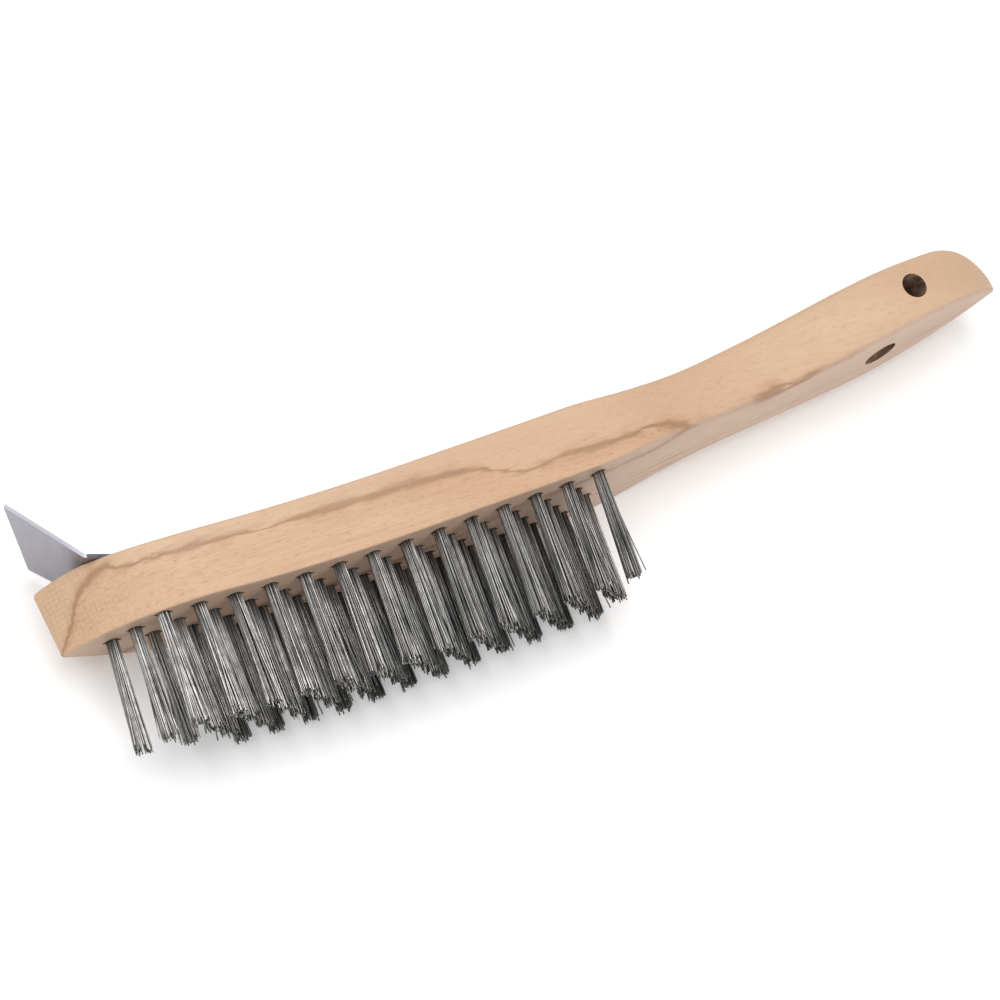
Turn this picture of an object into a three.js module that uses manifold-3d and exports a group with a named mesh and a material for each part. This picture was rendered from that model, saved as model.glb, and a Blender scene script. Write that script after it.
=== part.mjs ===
// Hand wire brush: beech block and handle in one piece, four zigzag rows of steel wire tufts,
// each held in a drilled hole by a flat anchor, and a bent steel scraper nailed on the nose.
// Millimetres, +Z up. The brush lies on its side: +X runs from the nose to the handle's end,
// +Y points away from the bristles, and Z runs across the width. While it is built, z = 0 is
// the middle plane; the last lines stand the finished group on z = 0.
import * as THREE from "three";
import { ParametricGeometry } from "three/addons/geometries/ParametricGeometry.js";
import { mergeVertices } from "three/addons/utils/BufferGeometryUtils.js";
import Module from "manifold-3d";

const wasm = await Module();
wasm.setup();

// ---------------------------------------------------------------- driving dimensions
const NOSE_X = -27;
const END_X = 263;
const HALF_WIDTH = 19;
const NOSE_LENGTH = 45.5;
const NOSE_FULLNESS = 0.85;
const SHOULDER_X = 128;
const HANDLE_END_START_X = 222;
const HANDLE_END_HALF_WIDTH = 15.2;
const TOP_ROUND_START_X = 245;
const NOSE_RAKE = { setBack: 1.3, length: 15 };
const BLOCK_EDGE = 0.6;
const HANDLE_EDGE = 1.9;
const EDGE_CHANGE_LENGTH = 35;
const EDGE_LIMIT = { ofHalfWidth: 0.45, ofHeight: 0.3 };
// Powers of the rounded-off curves at the handle's end, seen from the side and from the back.
const SIDE_VIEW_ROUND = { inner: 2.5, outer: 0.65 };
const BACK_VIEW_ROUND = { inner: 1.8, outer: 0.6 };
const LOFT_STATIONS = 50;
const LOFT_END_CROWDING = 0.6;
const POINTS_PER_CORNER = 3;
const SECTION_POINTS = 4 * POINTS_PER_CORNER;

const STATION_PITCH = 9.5;
const ROW_PITCH = 8.55;
const HOLE_D = 3.9;
const HOLE_DEPTH = 9;
const HOLE_SIDES = 8;
const SLIT_LENGTH = 5.2;
const SLIT_WIDTH = 0.9;
const DRILL_MOUTH = 2;

const TUFT_ROOT_D = 3.3;
const TUFT_TIP_D = 5.2;
const TUFT_TRIM = 30;
const TUFT_LEAN = { noseX: -12, nose: 4.8, firstX: 0, first: 1.6, lastX: 124, last: 5 };
const TUFT_INSET = 8.6;
const TUFT_SIDES = 8;
const ANCHOR_LENGTH = 4.6;
const ANCHOR_THICKNESS = 0.3;
const ANCHOR_HEIGHT = 3;
const ANCHOR_BELOW_FOLD = 1;

const SIDE_HOLE = { x: 233, y: 24.5, d: 7.5 };
const TOP_HOLE = { x: 221.5, d: 10 };
const HANG_HOLE_SIDES = 24;
const DRILL_LENGTH = 80;

const GAP = 0.3;
const PLATE = 1;
const SCRAPER_BEND_X = -13.4;
const SCRAPER_BEND_HALF = 13.3;
const SCRAPER_RISE = THREE.MathUtils.degToRad(50.5);
const SCRAPER_LONG_SIDE = 23.7;
const SCRAPER_SHORT_SIDE = 14.2;
const SCRAPER_FLARE = 0.13;
const SCRAPER_TAIL_LENGTH = 20;
const SCRAPER_TAIL_HALF = 6.5;
const TAIL_END_STEPS = 8;
const BEND_SIDES = 24;
const BEND_REACH = 6;
const NAIL_OFFSETS = [7, 15.5];
const NAIL_D = 1.8;
const NAIL_HEAD_D = 4.6;
const NAIL_HEAD_HEIGHT = 0.9;
const NAIL_LENGTH = 13;
const NAIL_POINT = 2;
const NAIL_HEAD_BEVEL = { height: 0.3, width: 0.5 };
const NAIL_SIDES = 12;
const PILOT_D = NAIL_D + 2 * GAP;

// The nose's back is one straight slope, which the scraper's tail lies on.
const SEAT = { x0: -14, y0: 22.5, x1: 8, y1: 19.9 };
const SEAT_SLOPE = (SEAT.y1 - SEAT.y0) / (SEAT.x1 - SEAT.x0);
const SEAT_ANGLE = Math.atan(SEAT_SLOPE);

// ---------------------------------------------------------------- the block's outline
function curveThrough(points) {
  const xs = points.map(([x]) => x);
  const ys = points.map(([, y]) => y);
  const curve = new THREE.CubicInterpolant(xs, ys, 1);
  return (x) => curve.evaluate(x)[0];
}

const underside = curveThrough([
  [NOSE_X, 3.35], [-15, 3.25], [5, 1.9], [28, 0.5], [55, 0], [90, 0.75], [130, 2.15],
  [137, 3], [148, 4.5], [165, 6.3], [188, 8.4], [205, 10.6], [222, 13.1], [240, 16.2], [END_X, 20.5],
]);

const noseBack = curveThrough([[NOSE_X, 21.6], [-20, 22.4], [SEAT.x0, SEAT.y0]]);

const back = curveThrough([
  [SEAT.x1, SEAT.y1], [18, 19.3], [34, 18.8], [55, 18.6], [90, 19.3], [112, 19.9], [124, 20.2],
  [135, 19.8], [143, 20.2], [154, 21.4], [171, 24.1], [188, 26.8], [205, 29.4], [222, 31.6],
  [TOP_ROUND_START_X, 34.1],
]);

const neckHalfWidth = curveThrough([
  [SHOULDER_X, HALF_WIDTH], [134, 18.8], [143, 17.6], [154, 15.1], [165, 13.3], [182, 12.2],
  [199, 13], [211, 14.4], [HANDLE_END_START_X, HANDLE_END_HALF_WIDTH],
]);

function roundedOff(t, power) {
  return Math.max(0, 1 - t ** power.inner) ** power.outer;
}

function topside(x) {
  if (x < SEAT.x0) return noseBack(x);
  if (x < SEAT.x1) return SEAT.y0 + (x - SEAT.x0) * SEAT_SLOPE;
  if (x < TOP_ROUND_START_X) return back(x);
  const t = (x - TOP_ROUND_START_X) / (END_X - TOP_ROUND_START_X);
  const low = underside(END_X);
  return low + (back(TOP_ROUND_START_X) - low) * roundedOff(t, SIDE_VIEW_ROUND);
}

function halfWidth(x) {
  if (x < NOSE_X + NOSE_LENGTH) {
    const s = Math.max(0, x - NOSE_X) / NOSE_LENGTH;
    return HALF_WIDTH * Math.sin((Math.PI / 2) * s) ** NOSE_FULLNESS;
  }
  if (x < SHOULDER_X) return HALF_WIDTH;
  if (x < HANDLE_END_START_X) return neckHalfWidth(x);
  const t = (x - HANDLE_END_START_X) / (END_X - HANDLE_END_START_X);
  return HANDLE_END_HALF_WIDTH * roundedOff(t, BACK_VIEW_ROUND);
}

function edgeRound(x) {
  const t = THREE.MathUtils.smoothstep(x, SHOULDER_X, SHOULDER_X + EDGE_CHANGE_LENGTH);
  const wanted = THREE.MathUtils.lerp(BLOCK_EDGE, HANDLE_EDGE, t);
  const height = topside(x) - underside(x);
  return Math.min(wanted, EDGE_LIMIT.ofHalfWidth * halfWidth(x), EDGE_LIMIT.ofHeight * height);
}

// How far the nose's foot stands back from its top edge.
function noseSetBack(x) {
  return NOSE_RAKE.setBack * (1 - THREE.MathUtils.smoothstep(x, NOSE_X, NOSE_X + NOSE_RAKE.length));
}

// ---------------------------------------------------------------- solids
function solidFrom(geometry) {
  const bare = geometry.index ? geometry.clone() : geometry;
  bare.deleteAttribute("normal");
  bare.deleteAttribute("uv");
  const merged = mergeVertices(bare, 1e-4);
  return new wasm.Manifold(new wasm.Mesh({
    numProp: 3,
    vertProperties: new Float32Array(merged.attributes.position.array),
    triVerts: new Uint32Array(keepRealTriangles(merged.index.array)),
  }));
}

function keepRealTriangles(index) {
  const kept = [];
  for (let i = 0; i < index.length; i += 3) {
    const [a, b, c] = [index[i], index[i + 1], index[i + 2]];
    if (a !== b && b !== c && c !== a) kept.push(a, b, c);
  }
  return kept;
}

function geometryFrom(solid) {
  const mesh = solid.getMesh();
  const geometry = new THREE.BufferGeometry();
  geometry.setAttribute("position", new THREE.BufferAttribute(mesh.vertProperties, 3));
  geometry.setIndex(new THREE.BufferAttribute(mesh.triVerts, 1));
  geometry.computeVertexNormals();
  return geometry;
}

function placed(geometry, position, leanZ = 0) {
  geometry.rotateZ(leanZ);
  geometry.translate(position.x, position.y, position.z);
  return geometry;
}

function blockSolid() {
  const loft = (u, v, target) => {
    const s = v - LOFT_END_CROWDING * Math.sin(2 * Math.PI * v) / (2 * Math.PI);
    const x = NOSE_X + (END_X - NOSE_X) * s;
    const round = edgeRound(x);
    const k = Math.round((1 - u) * SECTION_POINTS) % SECTION_POINTS;
    const corner = Math.floor(k / POINTS_PER_CORNER);
    const turn = (k % POINTS_PER_CORNER) / (POINTS_PER_CORNER - 1);
    const angle = (corner + turn) * Math.PI / 2;
    const right = corner === 0 || corner === 3;
    const upper = corner < 2;
    const midZ = (right ? 1 : -1) * (halfWidth(x) - round);
    const midY = upper ? topside(x) - round : underside(x) + round;
    const setBack = upper ? 0 : noseSetBack(x);
    target.set(x + setBack, midY + round * Math.sin(angle), midZ + round * Math.cos(angle));
  };
  return solidFrom(new ParametricGeometry(loft, SECTION_POINTS, LOFT_STATIONS));
}

// ---------------------------------------------------------------- tufts
function tuftLean(x) {
  const { noseX, nose, firstX, first, lastX, last } = TUFT_LEAN;
  const atNose = THREE.MathUtils.mapLinear(x, noseX, firstX, nose, first);
  const along = THREE.MathUtils.mapLinear(x, firstX, lastX, first, last);
  return THREE.MathUtils.degToRad(x < firstX ? atNose : along);
}

function tuftPlaces() {
  const rows = [[0, 14], [0.5, 13], [1, 13], [1.5, 12]];
  const places = [
    { name: "tuft_nose_tip", x: -1.3, row: 1.42 },
    { name: "tuft_nose_near", x: -0.7, row: 0.82 },
    { name: "tuft_nose_middle", x: -0.12, row: 1.68 },
  ];
  rows.forEach(([first, count], row) => {
    for (let i = 0; i < count; i++) {
      const name = `tuft_row${row + 1}_${String(i + 1).padStart(2, "0")}`;
      places.push({ name, x: first + i, row });
    }
  });
  return places.map(({ name, x, row }) => {
    const atX = x * STATION_PITCH;
    const position = new THREE.Vector3(atX, underside(atX), (1.5 - row) * ROW_PITCH);
    return { name, position, lean: -tuftLean(atX) };
  });
}

function tuftSolid({ position, lean }) {
  const root = TUFT_ROOT_D / 2;
  const profile = [
    new THREE.Vector2(0, -TUFT_TRIM),
    new THREE.Vector2(TUFT_TIP_D / 2, -TUFT_TRIM),
    new THREE.Vector2(root, -GAP),
    new THREE.Vector2(root, TUFT_INSET),
    new THREE.Vector2(0, TUFT_INSET),
  ];
  const bundle = new THREE.LatheGeometry(profile, TUFT_SIDES);
  const anchor = new THREE.BoxGeometry(ANCHOR_LENGTH, ANCHOR_HEIGHT, ANCHOR_THICKNESS);
  anchor.translate(0, TUFT_INSET - ANCHOR_BELOW_FOLD - ANCHOR_HEIGHT / 2, 0);
  return solidFrom(placed(bundle, position, lean)).add(solidFrom(placed(anchor, position, lean)));
}

function tuftHole({ position, lean }) {
  const length = HOLE_DEPTH + DRILL_MOUTH;
  const middle = length / 2 - DRILL_MOUTH;
  const drill = new THREE.CylinderGeometry(HOLE_D / 2, HOLE_D / 2, length, HOLE_SIDES);
  drill.translate(0, middle, 0);
  const slit = new THREE.BoxGeometry(SLIT_LENGTH, length, SLIT_WIDTH);
  slit.translate(0, middle, 0);
  return solidFrom(placed(drill, position, lean)).add(solidFrom(placed(slit, position, lean)));
}

// ---------------------------------------------------------------- hanging holes
function hangDrill(diameter) {
  return new THREE.CylinderGeometry(diameter / 2, diameter / 2, DRILL_LENGTH, HANG_HOLE_SIDES);
}

function sideHole() {
  const drill = hangDrill(SIDE_HOLE.d).rotateX(Math.PI / 2);
  return solidFrom(drill.translate(SIDE_HOLE.x, SIDE_HOLE.y, 0));
}

function topHole() {
  return solidFrom(hangDrill(TOP_HOLE.d).translate(TOP_HOLE.x, topside(TOP_HOLE.x), 0));
}

// ---------------------------------------------------------------- scraper and nails
// Flat outlines are drawn in a plane whose first axis runs forwards from the bend and whose
// second axis runs across the brush; flatPlate stands them up with the right tilt.
function flatPlate(outline, rise) {
  const shape = new THREE.Shape(outline.map(([along, across]) => new THREE.Vector2(along, across)));
  const plate = new THREE.ExtrudeGeometry(shape, { depth: PLATE, bevelEnabled: false });
  plate.rotateX(-Math.PI / 2);
  plate.rotateZ(rise);
  return plate;
}

function bendPoint() {
  const seatY = SEAT.y0 + (SCRAPER_BEND_X - SEAT.x0) * SEAT_SLOPE;
  return new THREE.Vector3(SCRAPER_BEND_X, seatY + GAP, 0);
}

function scraperSolid() {
  const half = SCRAPER_BEND_HALF;
  const nearFlare = half + SCRAPER_LONG_SIDE * SCRAPER_FLARE;
  const farFlare = half + SCRAPER_SHORT_SIDE * SCRAPER_FLARE;
  const blade = flatPlate(
    [[0, -half], [0, half], [-SCRAPER_SHORT_SIDE, farFlare], [-SCRAPER_LONG_SIDE, -nearFlare]],
    -SCRAPER_RISE,
  );
  const middle = SCRAPER_TAIL_LENGTH - SCRAPER_TAIL_HALF;
  const tailEnd = [];
  for (let i = 0; i <= TAIL_END_STEPS; i++) {
    const angle = -Math.PI / 2 + (i * Math.PI) / TAIL_END_STEPS;
    tailEnd.push([middle + SCRAPER_TAIL_HALF * Math.cos(angle), SCRAPER_TAIL_HALF * Math.sin(angle)]);
  }
  const tail = flatPlate([[0, -half], ...tailEnd, [0, half]], SEAT_ANGLE);
  const bend = new THREE.CylinderGeometry(PLATE, PLATE, 2 * half, BEND_SIDES);
  bend.rotateX(Math.PI / 2);
  const at = bendPoint();
  let solid = solidFrom(placed(blade, at)).add(solidFrom(placed(tail, at)));
  solid = solid.add(solidFrom(placed(bend, at)).subtract(belowPlates(at)));
  return NAIL_OFFSETS.reduce((rest, offset) => rest.subtract(nailBore(offset, PILOT_D)), solid);
}

// Everything under the two plates near the bend, so that the round bend stays on the outside.
function belowPlates(at) {
  const under = new THREE.BoxGeometry(2 * BEND_REACH, BEND_REACH, 4 * SCRAPER_BEND_HALF);
  under.translate(0, -BEND_REACH / 2, 0);
  const underBlade = under.clone();
  return solidFrom(placed(under, at, SEAT_ANGLE)).add(solidFrom(placed(underBlade, at, -SCRAPER_RISE)));
}

function onTail(geometry, along, up) {
  geometry.translate(along, up, 0);
  return placed(geometry, bendPoint(), SEAT_ANGLE);
}

function nailBore(offset, diameter) {
  const length = 2 * NAIL_LENGTH;
  const drill = new THREE.CylinderGeometry(diameter / 2, diameter / 2, length, NAIL_SIDES);
  return solidFrom(onTail(drill, offset, PLATE + NAIL_HEAD_HEIGHT + GAP - length / 2));
}

function nailSolid(offset) {
  const crown = PLATE + GAP + NAIL_HEAD_HEIGHT;
  const profile = [
    new THREE.Vector2(0, crown - NAIL_LENGTH),
    new THREE.Vector2(NAIL_D / 2, crown - NAIL_LENGTH + NAIL_POINT),
    new THREE.Vector2(NAIL_D / 2, PLATE + GAP),
    new THREE.Vector2(NAIL_HEAD_D / 2, PLATE + GAP),
    new THREE.Vector2(NAIL_HEAD_D / 2, crown - NAIL_HEAD_BEVEL.height),
    new THREE.Vector2(NAIL_HEAD_D / 2 - NAIL_HEAD_BEVEL.width, crown),
    new THREE.Vector2(0, crown),
  ];
  return solidFrom(onTail(new THREE.LatheGeometry(profile, NAIL_SIDES), offset, 0));
}

// ---------------------------------------------------------------- materials
const beech = () => new THREE.MeshStandardMaterial({ color: 0xd9b48c, roughness: 0.62, metalness: 0 });
const wire = () => new THREE.MeshStandardMaterial({ color: 0x8f8c86, roughness: 0.42, metalness: 0.9 });
const sheet = () => new THREE.MeshStandardMaterial({ color: 0xa5a3ac, roughness: 0.38, metalness: 0.85 });
const nailSteel = () => new THREE.MeshStandardMaterial({ color: 0x9a9aa0, roughness: 0.35, metalness: 0.9 });

// ---------------------------------------------------------------- the assembly
function named(name, solid, material) {
  const mesh = new THREE.Mesh(geometryFrom(solid), material);
  mesh.name = name;
  return mesh;
}

function drilledBlock(tufts) {
  let solid = blockSolid();
  for (const tuft of tufts) solid = solid.subtract(tuftHole(tuft));
  for (const offset of NAIL_OFFSETS) solid = solid.subtract(nailBore(offset, PILOT_D));
  return solid.subtract(sideHole()).subtract(topHole());
}

const brush = new THREE.Group();
const tufts = tuftPlaces();
brush.add(named("block_and_handle", drilledBlock(tufts), beech()));
brush.add(named("scraper_plate", scraperSolid(), sheet()));
brush.add(named("scraper_nail_front", nailSolid(NAIL_OFFSETS[0]), nailSteel()));
brush.add(named("scraper_nail_rear", nailSolid(NAIL_OFFSETS[1]), nailSteel()));
for (const tuft of tufts) brush.add(named(tuft.name, tuftSolid(tuft), wire()));

const box = new THREE.Box3().setFromObject(brush, true);
const middle = box.getCenter(new THREE.Vector3());
brush.position.set(-middle.x, -middle.y, -box.min.z);

export default brush;
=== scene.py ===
"""Hand wire brush: beech block and handle, steel wire tufts, and a steel scraper nailed on the nose.

Run as a script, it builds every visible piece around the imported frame. Outlines are in
millimetres in the brush's own frame: x from the nose to the handle's end, y away from the
bristles, and z = 0 on the middle plane. to_row() puts them in the row's frame, in metres.
"""
import bisect
import math
import random

import bmesh
import bpy
from mathutils import Matrix, Vector


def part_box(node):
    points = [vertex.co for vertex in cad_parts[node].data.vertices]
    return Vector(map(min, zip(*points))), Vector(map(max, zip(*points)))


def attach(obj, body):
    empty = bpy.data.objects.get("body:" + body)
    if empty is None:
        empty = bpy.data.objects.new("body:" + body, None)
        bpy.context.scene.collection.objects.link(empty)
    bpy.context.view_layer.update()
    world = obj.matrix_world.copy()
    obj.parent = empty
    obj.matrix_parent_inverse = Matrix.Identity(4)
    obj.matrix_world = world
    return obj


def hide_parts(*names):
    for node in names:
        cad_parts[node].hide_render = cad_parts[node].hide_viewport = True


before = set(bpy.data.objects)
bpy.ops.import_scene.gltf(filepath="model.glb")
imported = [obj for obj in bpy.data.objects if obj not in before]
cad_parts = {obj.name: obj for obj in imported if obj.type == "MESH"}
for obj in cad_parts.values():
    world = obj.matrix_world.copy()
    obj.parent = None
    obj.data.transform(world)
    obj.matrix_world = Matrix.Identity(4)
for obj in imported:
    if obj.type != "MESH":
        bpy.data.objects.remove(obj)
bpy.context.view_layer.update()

bl_info = {
    "name": "Wire Brush",
    "version": (1, 0, 0),
    "blender": (4, 5, 0),
    "location": "View3D > Sidebar > Wire Brush",
    "description": "Builds a beech wire brush with a steel scraper on its nose",
    "category": "Add Mesh",
}

BLOCK_LOW, BLOCK_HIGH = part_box("block_and_handle")
MM = 0.001

# ---------------------------------------------------------------- outline of the wood, mm
NOSE_X = -27
END_X = 263
HALF_WIDTH = 19
NOSE_LENGTH = 45.5
NOSE_FULLNESS = 0.85
NOSE_TOP_ROUND = 1.2
NOSE_FOOT_ROUND = 0.6
NOSE_SET_BACK = 1.3
NOSE_RAKE_LENGTH = 15
SHOULDER_X = 128
NECK_BLEND = 35
GRIP_END_X = 222
GRIP_END_HALF_WIDTH = 15.2
GRIP_END_POWER = (1.8, 0.6)
TOP_ROUND_X = 245
TOP_ROUND_POWER = (2.5, 0.65)
STATIONS = 104
END_CROWDING = 0.93
LEAST_SECTION_HEIGHT = 0.01
EDGE_OF_HALF_WIDTH = 0.45
EDGE_OF_HEIGHT = 0.3
ARC_STEPS = 4
SIDE_STEPS = 3
FACE_STEPS = 5

SEAT = ((-14, 22.5), (8, 19.9))
SEAT_ANGLE = math.atan2(SEAT[1][1] - SEAT[0][1], SEAT[1][0] - SEAT[0][0])

STATION_PITCH = 9.5
ROW_PITCH = 8.55
SIDE_HOLE = (233, 24.5)
TOP_HOLE_X = 221.5
NAIL_OFFSETS = {"scraper_nail_front": 7, "scraper_nail_rear": 15.5}
SCRAPER_BEND_X = -13.4
NAIL_BORE = 1.9
NAIL_DEPTH = 11.2

# How far the drills and punches reach past the faces that they cut, and the hanging holes' drills.
DRILL_MOUTH = 2
NAIL_DRILL_MOUTH = 3
SIDE_DRILL = 30
TOP_DRILL = 40
# Flats round each drilled hole, and round each half of a tuft hole beside its slit.
SIDE_HOLE_FLATS = 56
TOP_HOLE_FLATS = 64
NAIL_HOLE_FLATS = 24
PUNCHED_HOLE_FLATS = 32
HALF_HOLE_FLATS = 14
NAIL_TURN_STEPS = 32

MERGE_DISTANCE = 1e-7
NAIL_MERGE_DISTANCE = 1e-6
# Edges sharper than this many degrees stay crisp.
SHARP_WOOD = 35
SHARP_WIRE = 50
SHARP_SHEET = 30
SHARP_NAIL = 40
BEVELLED_SHEET = 50


def curve_through(*points):
    """A smooth line through a few chosen points: each slope is the mean of its neighbours'."""
    xs, ys = zip(*points)
    steps = list(zip(points, points[1:]))
    secants = [(b[1] - a[1]) / (b[0] - a[0]) for a, b in steps]
    inner = [(a + b) / 2 for a, b in zip(secants, secants[1:])]
    slopes = [secants[0], *inner, secants[-1]]

    def at(x):
        i = min(max(bisect.bisect_right(xs, x) - 1, 0), len(steps) - 1)
        width = xs[i + 1] - xs[i]
        p = (x - xs[i]) / width
        blend = p * p * (3 - 2 * p)
        start = width * slopes[i] * p * (1 - p) ** 2
        end = width * slopes[i + 1] * p * p * (p - 1)
        return ys[i] * (1 - blend) + ys[i + 1] * blend + start + end

    return at


underside_line = curve_through(
    (NOSE_X, 3.35), (-15, 3.25), (5, 1.9), (28, 0.5), (55, 0), (90, 0.75), (130, 2.15),
    (137, 3), (148, 4.5), (165, 6.3), (188, 8.4), (205, 10.6), (222, 13.1), (240, 16.2),
    (END_X, 20.5),
)
nose_back = curve_through((NOSE_X, 21.6), (-20, 22.4), SEAT[0])
back = curve_through(
    SEAT[1], (18, 19.3), (34, 18.8), (55, 18.6), (90, 19.3), (112, 19.9), (124, 20.2),
    (135, 19.8), (143, 20.2), (154, 21.4), (171, 24.1), (188, 26.8), (205, 29.4),
    (222, 31.6), (TOP_ROUND_X, 34.1),
)
neck_half_width = curve_through(
    (SHOULDER_X, HALF_WIDTH), (134, 18.8), (143, 17.6), (154, 15.1), (165, 13.3),
    (182, 12.2), (199, 13), (211, 14.4), (GRIP_END_X, GRIP_END_HALF_WIDTH),
)


def rounded_off(depth, radius):
    """How far a corner of that radius falls away, depth millimetres in from its end."""
    inside = min(depth / radius, 1)
    return radius * (1 - math.sqrt(1 - (1 - inside) ** 2))


def rounding_down(t, powers):
    """From 1 at t = 0 to 0 at t = 1, flat at first and steep at the end."""
    return max(0, 1 - t ** powers[0]) ** powers[1]


def underside(x):
    """Height of the face that the tufts stand in."""
    return underside_line(x) + rounded_off(x - NOSE_X, NOSE_FOOT_ROUND)


def topside(x):
    """Height of the back: the nose, the scraper's seat, the back's curve and the end's round."""
    if x < SEAT[0][0]:
        return nose_back(x) - rounded_off(x - NOSE_X, NOSE_TOP_ROUND)
    if x < SEAT[1][0]:
        return SEAT[0][1] + (x - SEAT[0][0]) * math.tan(SEAT_ANGLE)
    if x < TOP_ROUND_X:
        return back(x)
    low = underside_line(END_X)
    t = (x - TOP_ROUND_X) / (END_X - TOP_ROUND_X)
    return low + (back(TOP_ROUND_X) - low) * rounding_down(t, TOP_ROUND_POWER)


def half_width(x):
    """Half of the wood's width: the rounded nose, the block, the neck and the round end."""
    if x < NOSE_X + NOSE_LENGTH:
        share = max(0, x - NOSE_X) / NOSE_LENGTH
        return HALF_WIDTH * math.sin(math.pi / 2 * share) ** NOSE_FULLNESS
    if x < SHOULDER_X:
        return HALF_WIDTH
    if x < GRIP_END_X:
        return neck_half_width(x)
    t = (x - GRIP_END_X) / (END_X - GRIP_END_X)
    return GRIP_END_HALF_WIDTH * rounding_down(t, GRIP_END_POWER)


def smooth_step(value, low, high):
    t = min(max((value - low) / (high - low), 0), 1)
    return t * t * (3 - 2 * t)


def edge_round(x, settings):
    """Radius of the long edges, which grows from the block's to the handle's."""
    t = smooth_step(x, SHOULDER_X, SHOULDER_X + NECK_BLEND)
    wanted = (settings.block_edge * (1 - t) + settings.grip_edge * t) / MM
    height = topside(x) - underside(x)
    return min(wanted, EDGE_OF_HALF_WIDTH * half_width(x), EDGE_OF_HEIGHT * height)


def nose_set_back(x, share):
    """How far the nose's foot stands back; share is 0 at the underside and 1 on top."""
    fading = 1 - smooth_step(x, NOSE_X, NOSE_X + NOSE_RAKE_LENGTH)
    return NOSE_SET_BACK * (1 - share) * fading


# The row's frame: the block's own box says where the brush's x = NOSE_X and z = 0 lie.
ORIGIN = Vector((
    BLOCK_LOW.x - NOSE_X * MM,
    BLOCK_LOW.y,
    (BLOCK_LOW.z + BLOCK_HIGH.z) / 2,
))


def to_row(point):
    return ORIGIN + Vector(point) * MM


# ---------------------------------------------------------------- where the tufts stand
TUFT_ROWS = ((0, 14), (0.5, 13), (1, 13), (1.5, 12))
NOSE_TUFTS = {
    "tuft_nose_tip": (-1.3, 1.42),
    "tuft_nose_near": (-0.7, 0.82),
    "tuft_nose_middle": (-0.12, 1.68),
}
MIDDLE_ROW = 1.5
TUFT_TRIM = 30
FIRST_LEAN = 1.6
NOSE_LEAN = 4.8
NOSE_LEAN_REACH = 12
LAST_LEAN = 5
LAST_LEAN_X = 124


def tuft_lean(x):
    """How far a tuft leans towards the nose. The last station and the nose lean the most."""
    if x < 0:
        return math.radians(FIRST_LEAN - x * (NOSE_LEAN - FIRST_LEAN) / NOSE_LEAN_REACH)
    return math.radians(FIRST_LEAN + x * (LAST_LEAN - FIRST_LEAN) / LAST_LEAN_X)


def tuft_places():
    """Each tuft's node with its place in the brush's frame: {node: matrix, in millimetres}.
    The tuft's own frame has its mouth at the origin and its wires along -y."""
    stations = dict(NOSE_TUFTS)
    for row, (first, count) in enumerate(TUFT_ROWS):
        for i in range(count):
            stations[f"tuft_row{row + 1}_{i + 1:02d}"] = (first + i, row)
    places = {}
    for name, (station, row) in stations.items():
        x = station * STATION_PITCH
        mouth = Vector((x, underside(x), (MIDDLE_ROW - row) * ROW_PITCH))
        places[name] = Matrix.Translation(mouth) @ Matrix.Rotation(-tuft_lean(x), 4, "Z")
    return places


def seat_matrix():
    """The scraper's frame: bend at the origin, x along its tail and y out of the wood."""
    rise = SEAT[0][1] + (SCRAPER_BEND_X - SEAT[0][0]) * math.tan(SEAT_ANGLE)
    place = Matrix.Translation(Vector((SCRAPER_BEND_X, rise, 0)))
    return place @ Matrix.Rotation(SEAT_ANGLE, 4, "Z")


# ---------------------------------------------------------------- meshes
def linked(name, mesh):
    """An object of that mesh, in the scene."""
    made = bpy.data.objects.new(name, mesh)
    bpy.context.scene.collection.objects.link(made)
    return made


def mesh_from(name, build):
    """A mesh that build(bm) makes, with doubles merged and faces turned outwards."""
    bm = bmesh.new()
    build(bm)
    bmesh.ops.remove_doubles(bm, verts=bm.verts, dist=MERGE_DISTANCE)
    bmesh.ops.recalc_face_normals(bm, faces=bm.faces)
    mesh = bpy.data.meshes.new(name)
    bm.to_mesh(mesh)
    bm.free()
    return mesh


def applied(piece):
    """Takes the piece's modifier stack into its mesh."""
    graph = bpy.context.evaluated_depsgraph_get()
    mesh = bpy.data.meshes.new_from_object(piece.evaluated_get(graph), depsgraph=graph)
    old = piece.data
    piece.modifiers.clear()
    piece.data = mesh
    bpy.data.meshes.remove(old)
    mesh.name = piece.name
    return piece


def dropped(helper):
    """Removes a helper object and its mesh."""
    data = helper.data
    bpy.data.objects.remove(helper)
    bpy.data.meshes.remove(data)


def shaded(mesh, sharp_degrees):
    """Smooth shading, with edges beyond that angle kept crisp."""
    mesh.polygons.foreach_set("use_smooth", [True] * len(mesh.polygons))
    mesh.set_sharp_from_angle(angle=math.radians(sharp_degrees))


def add_ring(bm, points):
    return [bm.verts.new(p) for p in points]


def bridge(bm, ring, next_ring):
    """Faces between two closed rings of as many points."""
    count = len(ring)
    for i in range(count):
        j = (i + 1) % count
        bm.faces.new((ring[i], ring[j], next_ring[j], next_ring[i]))


def prism(bm, outline, matrix, start, end):
    """A closed bar of an (x, z) outline, drawn along y from start to end."""
    rings = [
        add_ring(bm, [to_row(matrix @ Vector((x, y, z))) for x, z in outline])
        for y in (start, end)
    ]
    bridge(bm, *rings)
    bm.faces.new(rings[0])
    bm.faces.new(rings[1][::-1])


def circle(radius, sides, start=0.0, end=2 * math.pi):
    steps = [start + (end - start) * i / sides for i in range(sides)]
    return [(radius * math.cos(a), radius * math.sin(a)) for a in steps]


def finished(piece, node):
    """A piece that rides on the brush and stands for its node."""
    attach(piece, "root")
    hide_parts(node)
    return piece


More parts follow.
